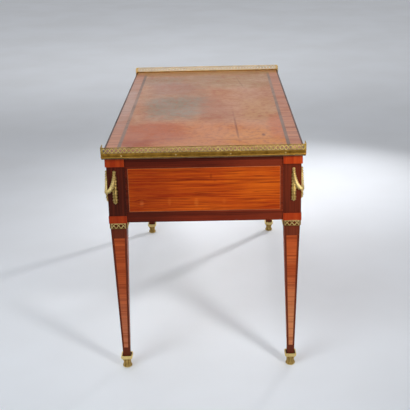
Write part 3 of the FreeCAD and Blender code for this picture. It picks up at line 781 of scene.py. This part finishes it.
def makeGallery(name, side, values):
    line, outs = endLine(values, side, values["thick"] / 2)
    reach = reachAlong(line)
    length, foot, head = reach[-1], values["foot"], values["head"]
    far = np.linspace(0, length, values["cells"] * 12 + 1)
    shells = strandShells(line, outs, far, length / values["cells"], 0.0, values)
    # the gallery's rails are toned dark, as painted shade of their faces
    shells += railShells(line, outs, values, (0.2, 0.2), upper)
    for middle in (reach[3], reach[10]):
        base, away = walkLine(line, outs, middle + np.linspace(-1, 1, 17) * values["pilaster"])
        profile = railProfile(values["thick"] - 0.2, head - foot - 0.2)
        shells.append(profileShell(base + [0, 0, (foot + head) / 2], away, profile, 0.55))
    post, inset, (endX, endY) = np.array(values["post"]), values["postInset"], values["endPost"]
    for x, y in (line[0], line[-1]):
        inward = np.array([x + side * endX, y - np.sign(y) * endY, foot])
        shells.append(turnedShell(inward, (0, 0, 1), post, 12))
    for sign in (-1, 1):
        corner = np.array([side * (values["faceX"] - inset), sign * (values["faceY"] - inset), foot])
        shells.append(turnedShell(corner, (0, 0, 1), post * [1.7, 1.0], 16))
    limit = np.array([values["faceX"], values["faceY"], head])
    shells = [(np.clip(points, -limit, limit), faces, relief) for points, faces, relief in shells]
    # the far gallery takes the paler copy of the gilding, painted light
    finish, node = (giltGallery, "gallery_right") if side > 0 else (giltGalleryPaintedPale, "gallery_left")
    makePiece(name, shells, finish, stands=(node,))


# Band section from its foot up: a flat fillet, a shallow hollow set back by a step, and a thin bead on top
def makeBand(name, side, values):
    line, outs = endLine(galleryMake, side, values["thick"])
    flat, out = withHeight(line, values["foot"]), withHeight(outs)
    thick, height, bead, fillet = values["thick"], values["height"], values["bead"], values["fillet"]
    back = thick - values["step"]
    start, end = fillet + 0.2, height - bead - 0.2
    share = np.linspace(0, 1, 14)
    bow = np.sin(np.pi * share)
    hollow = np.stack([back - values["cove"] * bow, start + (end - start) * share], -1)
    low = [(0, 0), (thick - 0.3, 0), (thick, 0.3), (thick, fillet - 0.2), (thick - 0.1, fillet)]
    high = [(thick - 0.1, height - bead), (thick, height - bead + 0.2), (thick, height - 0.3),
            (thick - 0.3, height), (0, height)]
    profile = np.concatenate([low, hollow, high])
    tone = np.concatenate([[0.3, 0.5, 0.72, 0.72, 0.5], 0.40 - 0.06 * bow, [0.45, 0.62, 0.62, 0.5, 0.4]])
    node = "gallery_band_right" if side > 0 else "gallery_band_left"
    shells = [profileShell(flat, out, profile, tone)]
    makePiece(name, shells, giltBand, stands=(node,), sharp=60)


for endName, endSide in (("Left", -1), ("Right", 1)):
    makeGallery("gallery" + endName, endSide, galleryMake)
    makeBand("edgingBand" + endName, endSide, bandMake)
print("galleries and bands made")


# Pierced collar plate on each face of the head of each leg

legMiddle = {"x": 637.0, "y": 274.0}
legCorners = {"FrontLeft": (-1, -1), "FrontRight": (1, -1), "BackLeft": (-1, 1), "BackRight": (1, 1)}

collarMake = {
    "foot": 503.5, "head": 522.0,
    "width": 47.0, "middle": 27.5,     # plate width, and how far its middle stands from the leg's
    "thick": 3.0, "headRail": 2.3, "footRail": 1.4, "headFree": 0.9, "footFree": 0.5,
    "pitch": 15.4,                     # strands cross at the middle and this far on each side
    "strand": 1.45, "depth": 1.0, "weave": 0.3,
    "crossRise": 2.4,                  # how far above the middle the strands cross
}


# The name of a CAD node at one corner of the table
def cornerNode(kind, sx, sy):
    return kind + ("_front" if sy < 0 else "_back") + ("_left" if sx < 0 else "_right")


# A shell about a leg's own middle, moved to one corner of the table
def atCorner(shell, sx, sy):
    points, faces, relief = shell
    return points + [sx * legMiddle["x"], sy * legMiddle["y"], 0.0], faces, relief


# Shells of one plate on the +X face, about the leg's own middle
def collarPlate(values):
    half, out = values["width"] / 2, values["middle"]
    line, outs = np.array([[out, -half], [out, half]]), np.array([[1.0, 0], [1.0, 0]])
    foot, head = values["foot"], values["head"]
    middle = (foot + head) / 2
    far = np.linspace(0.8, 2 * half - 0.8, 49)
    shells = strandShells(line, outs, far, values["pitch"], half, values)
    for points, _, _ in shells:
        points[:, 2] += values["crossRise"] * (1 - np.abs(points[:, 2] - middle) / (head - middle))
    shells = [(points, faces, 0.35 + 0.65 * relief) for points, faces, relief in shells]
    for at in (1.0 - half, half - 1.0):
        post = np.array([[out, at, foot + 0.5], [out, at, head - 0.5]])
        shells.append(tubeShell(post, withHeight(outs), 1.3, 1.0))
    return shells + railShells(line, outs, values, (0.15, 0.8), outer)


# The plate on all four faces of each leg, turned on by a quarter each time
def makeCollars(values):
    points, faces, relief = joinShells(collarPlate(values))
    shells = []
    for quarter in range(4):
        shells += [atCorner((points, faces, relief), sx, sy) for sx, sy in legCorners.values()]
        points = points[:, [1, 0, 2]] * [-1, 1, 1]
    makePiece("legCollars", shells, giltWorked, stands=("leg_collars",))


makeCollars(collarMake)
print("collars made")


# Cast shoe under each leg

shoeMake = {
    # height, half width, squareness and leaf share, from the middle of the tread up and over into the dish
    "profile": [
        (0.0, 0.0, 0.0, 0.0), (0.0, 12.8, 0.0, 0.0), (0.7, 14.0, 0.0, 0.0), (2.6, 15.4, 0.0, 0.0),
        (5.0, 15.8, 0.0, 0.1), (7.6, 15.0, 0.0, 0.5), (10.0, 13.6, 0.1, 1.0), (14.0, 12.3, 0.15, 1.0),
        (18.0, 12.0, 0.2, 1.0), (22.0, 12.5, 0.3, 1.0), (26.0, 13.6, 0.4, 0.8), (29.0, 14.6, 0.55, 0.4),
        (31.5, 15.2, 0.8, 0.0), (33.0, 16.6, 0.95, 0.0), (35.0, 18.2, 1.0, 0.0), (38.0, 19.0, 1.0, 0.0),
        (42.5, 19.0, 1.0, 0.0), (44.4, 18.6, 1.0, 0.0), (45.0, 17.8, 1.0, 0.0), (44.9, 16.2, 1.0, 0.0),
        (43.6, 15.4, 1.0, 0.0), (40.2, 15.0, 1.0, 0.0), (40.0, 12.0, 1.0, 0.0), (40.0, 0.0, 1.0, 0.0),
    ],
    "leaves": 8, "leafRise": 1.1, "sides": 96,
    "rimDip": 4.0, "dipFrom": 34.0, "dipOver": 8.0,      # the rim sinks in the middle of each face
    "dishRows": 4,       # the last rows, which don't sink
    "dishShade": 0.86,   # the share of the profile past which it is painted dark, as painted shade in the dish
}


# Half width by height and turn: a circle that squares off towards the rim, with upright leaves round it
def shoeShell(values):
    table = np.array(values["profile"])
    fine = np.linspace(0, len(table) - 1, len(table) * 3 - 2)
    height, half, square, leaf = rowsAt(fine, np.arange(len(table)), table).T[..., None]
    turn = fullTurn(values["sides"])[None]
    power = 2 + 12 * square ** 2
    spread = (np.abs(np.cos(turn)) ** power + np.abs(np.sin(turn)) ** power) ** (-1 / power)
    crest = np.abs(np.cos(values["leaves"] / 2 * turn)) ** 0.7
    vein = np.exp(-((1 - crest) / 0.04) ** 2)
    leafRise = leaf * values["leafRise"] * (crest - 0.75 - 0.3 * vein)
    reach = half * spread + np.where(half > 2, leafRise, 0)
    sunk = np.clip((height - values["dipFrom"]) / values["dipOver"], 0, 1)
    dip = values["rimDip"] * sunk * (1 - np.abs(np.sin(2 * turn)) ** 0.8)
    height = np.where(fine[:, None] > len(table) - values["dishRows"] - 0.5, height, height - dip)
    grid = np.stack([reach * np.cos(turn), reach * np.sin(turn), height + 0 * turn], -1)
    tone = np.where(leaf > 0.05, 0.08 + 0.62 * crest - 0.2 * vein, 0.95) + 0 * height
    # the dish round the leg is painted dark, as painted shade
    inDish = np.arange(len(fine))[:, None] > len(fine) * values["dishShade"]
    return gridShell(grid, np.where(inDish, 0.1, tone))


shoe = shoeShell(shoeMake)
for cornerName, (sx, sy) in legCorners.items():
    stands = (cornerNode("sabot", sx, sy),)
    makePiece("shoe" + cornerName, [atCorner(shoe, sx, sy)], giltWorked, stands=stands)
print("shoes made")


# Laurel garland over the outer corner of each leg block

garlandMake = {
    "out": 3.0,              # how far the garland's line stands off the block
    "blockX": 665.0, "blockY": 302.0,
    "inset": 23.5, "nailHeight": 690.0, "tailFoot": 585.0, "swagDrop": 62.0,
    "leafLength": 14.5, "leafWidth": 7.6, "leafThick": 2.0, "leafLean": 0.46, "leafCurl": 0.3,
    "tailCore": 3.9, "swagCore": 3.2, "step": 9.4,
    "flatTop": 0.15, "flatFoot": 0.75,      # shares of its stand that a tail keeps at its nail and foot
    "flatReach": 66.0,       # how far below the nail it stands off fully
    "cornerPaintedHighlight": 0.60,      # how much brighter the swag is painted towards the corner, a painted highlight
}


# Leaves round each point of a path but its last: flat oval tubes drawn to a point at both ends, leaning out
def leafShell(path, ahead, outs, angles, core, sizes, values):
    path, ahead, outs, angles, sizes = (rows[:-1] for rows in (path, ahead, outs, angles, sizes))
    side = np.cross(ahead, outs)
    radial = np.cos(angles)[..., None] * outs[:, None] + np.sin(angles)[..., None] * side[:, None]
    lean = values["leafLean"]
    along = math.cos(lean) * ahead[:, None] + math.sin(lean) * radial
    face = math.cos(lean) * radial - math.sin(lean) * ahead[:, None]
    across = np.cross(along, face)
    base = path[:, None] + radial * core
    rows, sides = 6, 6
    share = np.linspace(0, 1, rows)[:, None]
    turn = fullTurn(sides)
    full = np.sin(np.pi * share ** 0.75)
    reach = values["leafLength"] * share + 0 * turn
    lift = values["leafCurl"] * share ** 2 + values["leafThick"] / 2 * full ** 0.6 * np.sin(turn)
    wide = values["leafWidth"] / 2 * full ** 0.8 * np.cos(turn)
    leaf = sum(way[:, :, None, None] * far[..., None]
               for way, far in ((along, reach), (face, lift), (across, wide)))
    grid = base[:, :, None, None] + sizes[:, None, None, None, None] * leaf
    count = grid.shape[0] * grid.shape[1]
    faces = (gridFaces(rows, sides) + rows * sides * np.arange(count)[:, None, None]).reshape(-1, 4)
    tone = np.clip(-0.10 + 0.68 * share + 0.42 * np.sin(turn), 0, 1)
    relief = np.broadcast_to(tone, grid.shape[:4]).reshape(-1)
    return grid.reshape(-1, 3), faces, relief


# A path's points set at even steps, with their outs and headings
def evenSteps(path, outs, step):
    reach = reachAlong(path)
    far = np.linspace(0, reach[-1], max(2, int(round(reach[-1] / step)) + 1))
    points, out = rowsAt(far, reach, path), unit(rowsAt(far, reach, outs))
    ahead = unit(np.gradient(points, axis=0))
    return points, unit(out - (out * ahead).sum(-1, keepdims=True) * ahead), ahead


# One tail: leaves in rows round a stem, drawn in towards the foot, under a nail head and over a bud
def tailShells(nail, out, values):
    drop = values["nailHeight"] - values["tailFoot"]
    path = nail + np.array([0, 0, -1.0]) * np.linspace(2, drop - 6, 40)[:, None]
    points, outs, ahead = evenSteps(path, np.broadcast_to(out, path.shape), values["step"])
    share = np.linspace(0, 1, len(points))
    taper = 1 - 0.5 * np.clip((share - 0.72) / 0.28, 0, 1) ** 2
    swell = 0.58 + 0.38 * np.clip(share / 0.5, 0, 1)
    size = swell * (0.92 + 0.16 * np.sin(3 * np.pi * share) ** 2) * taper
    fan = np.broadcast_to([-1.85, -1.15, -0.5, 0.5, 1.15, 1.85], (len(points), 6))
    core = values["tailCore"] * (0.6 + 0.4 * share) * taper
    stem = tubeShell(points, outs, core, core)
    shells = [(stem[0], stem[1], stem[2] * 0.2)]
    shells.append(leafShell(points, ahead, outs, fan, values["tailCore"] * 0.7, size, values))
    bud = [(0.5, 3.6), (2.0, 3.0), (2.9, 1.2), (2.6, -1.2), (1.4, -2.8), (0.3, -3.4)]
    shells.append(turnedShell(points[-1] + [0, 0, -1.0] + out * 0.3, (0, 0, 1), bud, 12))
    head = [(4.6, -2.6), (5.1, -1.0), (4.9, 0.4), (3.9, 1.5), (3.0, 1.2), (2.5, 2.2), (1.4, 3.1),
            (0.3, 3.4)]
    tone = [0.2, 0.7, 0.9, 0.7, 0.1, 0.6, 1.0, 1.0]
    shells.append(turnedShell(nail, out, head, 32, lambda turn: 1 + 0.06 * np.cos(8 * turn), tone))
    return shells


# Points drawn in towards the block, most at the nail and a little at the foot
def flattenTail(points, out, values):
    face = np.array([values["blockX"], values["blockY"], 0.0]) @ out
    nail = values["nailHeight"]
    keep = np.interp(points[:, 2], [values["tailFoot"], nail - values["flatReach"], nail - 6],
                     [values["flatFoot"], 1.0, values["flatTop"]])
    return points - out * ((points @ out - face) * (1 - keep))[:, None]


# A garland: each half of its swag falls from a nail, steeply at first, and is level at the block's corner
def makeGarland(name, sx, sy, values):
    outX, outY = values["blockX"] + values["out"], values["blockY"] + values["out"]
    nailX, nailY = values["blockX"] - values["inset"], values["blockY"] - values["inset"]
    nailZ = values["nailHeight"]
    run, drop = values["inset"] + values["out"], values["swagDrop"]
    share = np.linspace(0, 1, 40) ** 2
    along = run * share
    height = nailZ - drop * np.sin(np.pi / 2 * share ** 0.6)
    near = np.stack([0 * share + outX, nailY + along, height], -1)
    lean = np.clip((along - run + 6) / 6, 0, 1)
    nearOut = unit(np.stack([0 * share + 1.0, 0.9 * lean, 0 * share], -1))
    swap = np.array([[0, 1.0, 0], [1, 0, 0], [0, 0, 1]])
    offset = np.array([outX - outY, outY - outX, 0])
    shells = []
    for path, outs in ((near, nearOut), (near @ swap + offset, nearOut @ swap)):
        points, out, ahead = evenSteps(path, outs, values["step"] * 0.8)
        fan = np.linspace(-1.7, 1.7, 5)[None] + 0.32 * (np.arange(len(points)) % 2)[:, None] - 0.16
        size = np.interp(np.linspace(0, 1, len(points)), [0, 0.3, 0.7, 1], [0.5, 0.74, 0.86, 0.62])
        shells.append(tubeShell(points, out, values["swagCore"], values["swagCore"]))
        leaves, faces, relief = leafShell(points, ahead, out, fan, values["swagCore"] * 0.75, size, values)
        # a painted highlight put into the swag's relief, growing towards the corner
        paintedHighlight = np.linspace(0.0, values["cornerPaintedHighlight"], len(points) - 1)
        shells.append((leaves, faces, relief + np.repeat(paintedHighlight, len(relief) // len(paintedHighlight))))
    corner = np.array([outX - 0.6, outY - 0.6, nailZ - drop + 1.0])
    tie = [(3.2, -2.4), (4.4, -2.4), (4.8, -1.3), (4.5, 0.0), (4.8, 1.3), (4.4, 2.4), (3.2, 2.4)]
    shells.append(turnedShell(corner, (-1, 1, 0), tie, 20, relief=[0.3, 0.9, 1, 0.6, 1, 0.9, 0.3]))
    for nail, out in ((np.array([outX, nailY, nailZ]), np.array([1.0, 0, 0])),
                      (np.array([nailX, outY, nailZ]), np.array([0, 1.0, 0]))):
        shells += [(flattenTail(points, out, values), faces, relief)
                   for points, faces, relief in tailShells(nail, out, values)]
    turn = np.array([sx, sy, 1.0])
    shells = [(points * turn, faces, relief) for points, faces, relief in shells]
    makePiece(name, shells, giltWorked, stands=(cornerNode("garland", sx, sy),))


for cornerName, (sx, sy) in legCorners.items():
    makeGarland("garland" + cornerName, sx, sy, garlandMake)
print("garlands made")


# Beaded rim on each keyhole plate

beadMake = {"radius": 15.9, "bead": 1.15, "beads": 44, "face": -300.0, "stand": 3.1}
drawerNames = ("upper_left", "lower_left", "centre", "upper_right", "lower_right")


# A drawer's name as part of the name of a piece
def drawerLabel(drawerName):
    return "".join(word.capitalize() for word in drawerName.split("_"))


# A ring whose tube swells and shrinks evenly, so that it reads as a row of beads
def makeBeadRim(drawerName, values):
    low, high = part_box("drawer_" + drawerName + "_ring")
    ringMiddle = (low + high) / 2 / mm
    turn = fullTurn(values["beads"] * 6)
    spoke = np.stack([np.cos(turn), 0 * turn, np.sin(turn)], -1)
    centre = np.array([ringMiddle.x, values["face"] - values["stand"], ringMiddle.z])
    size = values["bead"] * (0.45 + 0.55 * np.abs(np.sin(values["beads"] / 2 * turn)) ** 0.8)
    outs = np.tile([0, -1.0, 0], (len(turn), 1))
    shells = [tubeShell(centre + values["radius"] * spoke, outs, size, size, loop=True)]
    name = "beadRim" + drawerLabel(drawerName)
    makePiece(name, shells, giltWorked, body="drawer_" + drawerName)


for drawerName in drawerNames:
    makeBeadRim(drawerName, beadMake)
print("bead rims made")


# Thin pale line let in round each veneer field

lineMake = {
    "width": 1.1, "proud": 0.12,
    # the field on each end of the frieze
    "endFace": 663.0, "endHalf": 237.0, "endFoot": 558.5, "endHead": 700.5,
}


# A flat strip inside the edges of each box of field wood, on the side that faces out
def makeFieldLines(name, boxes, out, body):
    out = np.array(out)
    side = [1, 0, 0] if out[1] else [0, 1, 0]
    spread = np.array([[-1, -1], [1, -1], [1, 1], [-1, 1]]) @ [side, [0, 0, 1]]
    proud = out * lineMake["proud"]
    shells = []
    for low, high in np.array(boxes):
        corners = (low + high) / 2 + (high - low) / 2 * (out + spread)
        inner = corners - lineMake["width"] * spread
        rings = np.stack([corners - proud, corners + proud, inner + proud, inner - proud], 1)
        shells.append(gridShell(rings, np.ones(rings.shape[:2]), wrapRows=True))
    makePiece(name, shells, finishes["stringingPale"], body=body, sharp=30)


backBoxes = []
for drawerName in drawerNames:
    low, high = (np.array(corner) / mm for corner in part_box("drawer_" + drawerName + "_veneer"))
    name = "fieldLine" + drawerLabel(drawerName)
    makeFieldLines(name, [(low, high)], (0, -1, 0), "drawer_" + drawerName)
    backBoxes.append(((low[0], -high[1], low[2]), (high[0], -low[1], high[2])))
makeFieldLines("fieldLinesBack", backBoxes, (0, 1, 0), "carcase")
for endName, endSide in (("Left", -1), ("Right", 1)):
    face, half = endSide * lineMake["endFace"], lineMake["endHalf"]
    endBox = ((face, -half, lineMake["endFoot"]), (face, half, lineMake["endHead"]))
    makeFieldLines("fieldLine" + endName, [endBox], (endSide, 0, 0), "carcase")
print("field lines made")


# Floor, lamps and the room's light

studio = {
    "floorTint": (0.84, 0.87, 0.925, 1.0), "floorShade": (0.80, 0.825, 0.87, 1.0),
    "floorReach": 40.0,
    "roomTint": (0.975, 0.985, 1.0, 1.0),
    "roomBack": 0.77, "roomFront": 0.03,         # the room is brighter behind the table than before it
    "fadeFrom": -0.5, "fadeTo": 0.8,
    "lampTints": {"frontLeftLamp": (0.90, 0.97, 1.0)},
    # name: place, aim, watts, width, beam in degrees
    "lamps": {
        "backRightLamp": ((-2.02, 1.44, 1.35), (-1.00, 0.20, 0.0), 4.75, 0.20, 80.0),
        "frontRightLamp": ((2.14, 1.22, 1.80), (0.60, 0.30, 0.60), 2.10, 0.40, 44.0),
        "frontLeftLamp": ((2.60, -1.60, 2.60), (1.00, -0.30, 0.0), 7.8, 2.20, 60.0),
        "overLamp": ((-0.20, -0.60, 3.40), (-0.20, -0.60, 0.0), 2.4, 1.60, 70.0),
        "topLamp": ((2.60, 0.05, 3.10), (-0.45, 0.0, 0.75), 1.8, 0.60, 24.0),
        "lowBackLamp": ((-1.40, 0.05, 0.95), (-0.78, 0.0, 0.0), 0.07, 0.50, 34.0),
        "farBackLamp": ((-1.90, 0.05, 0.70), (0.12, 0.0, 0.0), 0.22, 0.60, 15.0),
        "backdropLamp": ((-4.00, -0.40, 3.20), (-7.6, -0.4, 0.0), 27.0, 3.00, 140.0),
    },
}


def makeStudio(values):
    reach = values["floorReach"]
    mesh = bpy.data.meshes.new("studioFloor")
    mesh.from_pydata([(-reach, -reach, 0), (reach, -reach, 0), (reach, reach, 0), (-reach, reach, 0)], [],
                     [(0, 1, 2, 3)])
    material, tree, shader = newMaterial("paleFloor", values["floorTint"], {"Roughness": 0.75})
    cloud = rise(noise(objectPlace(tree)[0], 1.4, 3.0), 0.3, 0.7)
    colour = blendColour(cloud, values["floorTint"], values["floorShade"])
    tree.links.new(colour, shader.inputs["Base Color"])
    mesh.materials.append(material)
    floor = bpy.data.objects.new("studioFloor", mesh)
    scene.collection.objects.link(floor)
    for name, (place, aim, watts, width, beam) in values["lamps"].items():
        lamp = bpy.data.lights.new(name, "AREA")
        lamp.shape = "DISK"
        lamp.size = width
        lamp.energy = watts
        lamp.color = values["lampTints"].get(name, (1.0, 1.0, 1.0))
        lamp.spread = math.radians(beam)
        holder = bpy.data.objects.new(name, lamp)
        holder.location = place
        holder.rotation_mode = "QUATERNION"
        holder.rotation_quaternion = (Vector(aim) - Vector(place)).to_track_quat("-Z", "Y")
        holder.visible_camera = False
        scene.collection.objects.link(holder)
    world = bpy.data.worlds.new("paleRoom")
    world.use_nodes = True
    tree = world.node_tree
    way = put(tree, "ShaderNodeTexCoord").outputs["Generated"]
    ahead = put(tree, "ShaderNodeSeparateXYZ", {0: way}).outputs[0]
    fade = ("fadeFrom", "fadeTo", "roomBack", "roomFront")
    inputs = dict(enumerate((ahead, *(values[key] for key in fade))))
    level = put(tree, "ShaderNodeMapRange", inputs, interpolation_type="SMOOTHSTEP")
    tree.nodes["Background"].inputs[0].default_value = values["roomTint"]
    tree.links.new(level.outputs[0], tree.nodes["Background"].inputs[1])
    scene.world = world


makeStudio(studio)
print("studio made")
